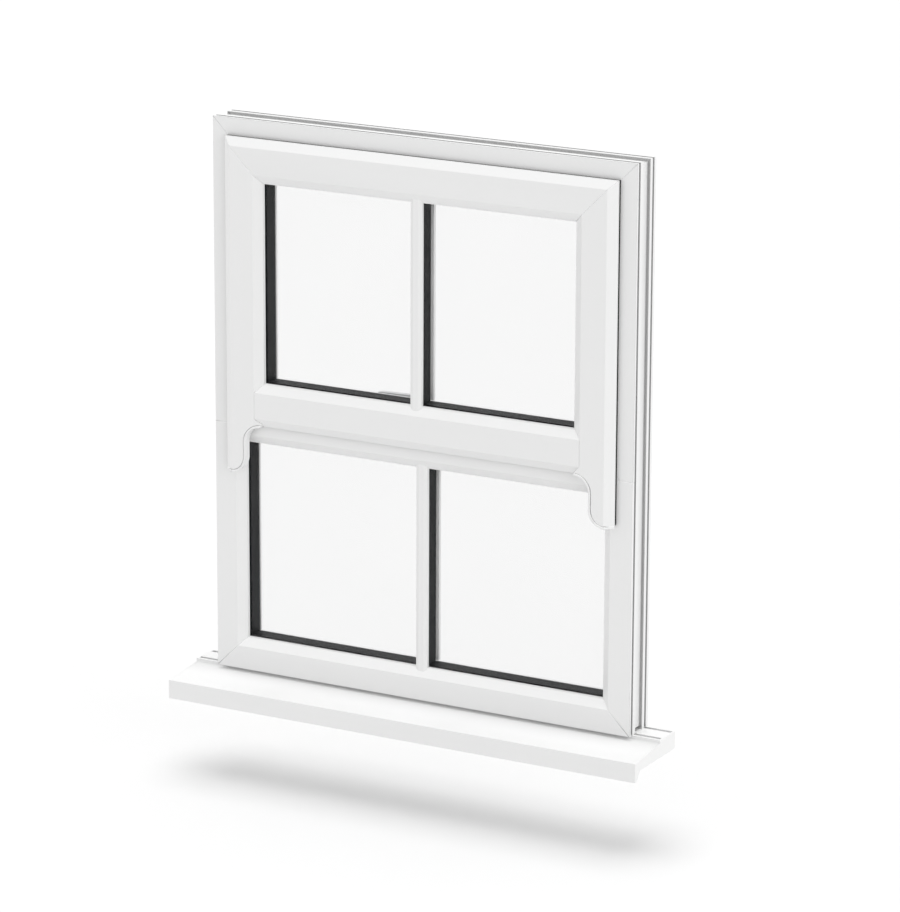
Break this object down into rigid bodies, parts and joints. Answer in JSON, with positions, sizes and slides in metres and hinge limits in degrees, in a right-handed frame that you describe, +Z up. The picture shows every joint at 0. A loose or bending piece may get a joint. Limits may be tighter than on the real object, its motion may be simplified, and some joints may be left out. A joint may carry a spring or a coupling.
{
  "type": "sash window",
  "caption": "White PVC-U window with a top-hung upper sash with horns over a fixed lower light, glazing bars, friction stays, lock and handle, on a projecting cill.",
  "frame": {"origin": "middle of the cill's bed, below the frame's outside face", "axes": "+X to the right seen from outside, +Y from the outside to the room, +Z up"},
  "size_m": [0.931, 0.183, 1.049],
  "materials": {
    "pvc": "smooth white, satin gloss",
    "gasket": "soft white",
    "seal": "soft black",
    "glass": "clear",
    "spacer": "matt black",
    "packer": "plain",
    "steel": "satin",
    "zinc": "cast, satin",
    "handle": "satin silver coat"
  },
  "bodies": {
    "frame": {"frame_head": "pvc", "frame_bottom_rail": "pvc", "frame_transom": "pvc", "frame_jamb_left_upper": "pvc", "frame_jamb_left_lower": "pvc", "frame_jamb_right_upper": "pvc", "frame_jamb_right_lower": "pvc", "frame_reinforcement": "steel", "cill": "pvc", "cill_end_cap_left": "pvc", "cill_end_cap_right": "pvc", "lower_outer_pane": "glass", "lower_inner_pane": "glass", "lower_spacer_frame": "spacer", "lower_dummy_spacer": "spacer", "lower_outer_bar": "pvc", "lower_inner_bar": "pvc", "lower_outer_gasket": "gasket", "lower_bead_top": "pvc", "lower_bead_bottom": "pvc", "lower_bead_left": "pvc", "lower_bead_right": "pvc", "lower_bead_gasket": "gasket", "lower_packers": "packer", "frame_seal": "seal", "lock_keeps": "zinc", "stay_track_left": "steel", "stay_track_right": "steel"},
    "short_arm_left": {"short_arm_left": "steel"},
    "short_arm_right": {"short_arm_right": "steel"},
    "long_arm_left": {"long_arm_left": "steel"},
    "long_arm_right": {"long_arm_right": "steel"},
    "sash": {"sash_top_rail": "pvc", "sash_bottom_rail": "pvc", "sash_stile_left": "pvc", "sash_stile_right": "pvc", "horn_cap_left": "pvc", "horn_cap_right": "pvc", "sash_reinforcement": "steel", "upper_outer_pane": "glass", "upper_inner_pane": "glass", "upper_spacer_frame": "spacer", "upper_dummy_spacer": "spacer", "upper_outer_bar": "pvc", "upper_inner_bar": "pvc", "upper_outer_gasket": "gasket", "upper_bead_top": "pvc", "upper_bead_bottom": "pvc", "upper_bead_left": "pvc", "upper_bead_right": "pvc", "upper_bead_gasket": "gasket", "upper_packers": "packer", "sash_seal": "seal", "stay_bar_left": "steel", "stay_bar_right": "steel", "lock_gearbox": "zinc", "handle_base": "handle", "handle_screws": "steel"},
    "lock_rod": {"lock_rod": "steel"},
    "handle": {"handle_lever": "handle"}
  },
  "joints": [
    {"name": "short_arm_left_turn", "type": "hinge", "parent": "frame", "child": "short_arm_left", "pos_m": [-0.3525, 0.028, 0.79], "axis": [-1, 0, 0], "range_deg": [-28, 0]},
    {"name": "sash_swing", "type": "hinge", "parent": "short_arm_left", "child": "sash", "pos_m": [-0.3525, 0.028, 0.9], "axis": [-1, 0, 0], "range_deg": [0, 56]},
    {"name": "short_arm_right_turn", "type": "hinge", "parent": "frame", "child": "short_arm_right", "pos_m": [0.3525, 0.028, 0.79], "axis": [-1, 0, 0], "range_deg": [-28, 0]},
    {"name": "long_arm_left_turn", "type": "hinge", "parent": "frame", "child": "long_arm_left", "pos_m": [-0.3495, 0.028, 0.68], "axis": [-1, 0, 0], "range_deg": [-18.5, 0]},
    {"name": "long_arm_right_turn", "type": "hinge", "parent": "frame", "child": "long_arm_right", "pos_m": [0.3495, 0.028, 0.68], "axis": [-1, 0, 0], "range_deg": [-18.5, 0]},
    {"name": "handle_turn", "type": "hinge", "parent": "sash", "child": "handle", "pos_m": [-0.036, 0.06, 0.543], "axis": [0, 1, 0], "range_deg": [0, 90]},
    {"name": "lock_rod_slide", "type": "slide", "parent": "sash", "child": "lock_rod", "axis": [1, 0, 0], "range_m": [0, 0.0181]}
  ],
  "couplings": [
    {"joint": "short_arm_left_turn", "follows": "sash_swing", "ratio": -0.5},
    {"joint": "short_arm_right_turn", "follows": "sash_swing", "ratio": -0.5},
    {"joint": "long_arm_left_turn", "follows": "sash_swing", "ratio": -0.3275},
    {"joint": "long_arm_right_turn", "follows": "sash_swing", "ratio": -0.3275},
    {"joint": "lock_rod_slide", "follows": "handle_turn", "m_per_rad": 0.011459}
  ]
}
